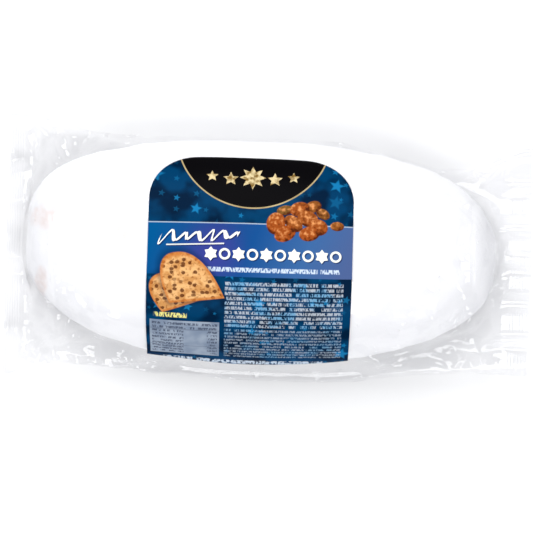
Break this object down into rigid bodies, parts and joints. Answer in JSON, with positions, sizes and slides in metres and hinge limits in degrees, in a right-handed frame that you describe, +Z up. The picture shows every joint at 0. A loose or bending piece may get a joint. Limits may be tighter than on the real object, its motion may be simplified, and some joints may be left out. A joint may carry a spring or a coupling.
{
  "type": "stollen",
  "caption": "Sugar-dusted stollen loaf in a sealed clear film pack, with crimped wavy ends and a blue label wrapped over the top.",
  "frame": {"origin": "centre of the pack's underside, on the surface it lies on", "axes": "+X along the loaf from the left fin to the right fin, +Y from the label's front edge to its back edge, +Z up through the label"},
  "size_m": [0.249, 0.1246, 0.0534],
  "materials": {
    "film_pack": "clear glossy film over white icing sugar",
    "label": "smooth printed label, semi-gloss, dark blue"
  },
  "bodies": {
    "root": {"film_pack": "film_pack", "label": "label"}
  },
  "joints": []
}
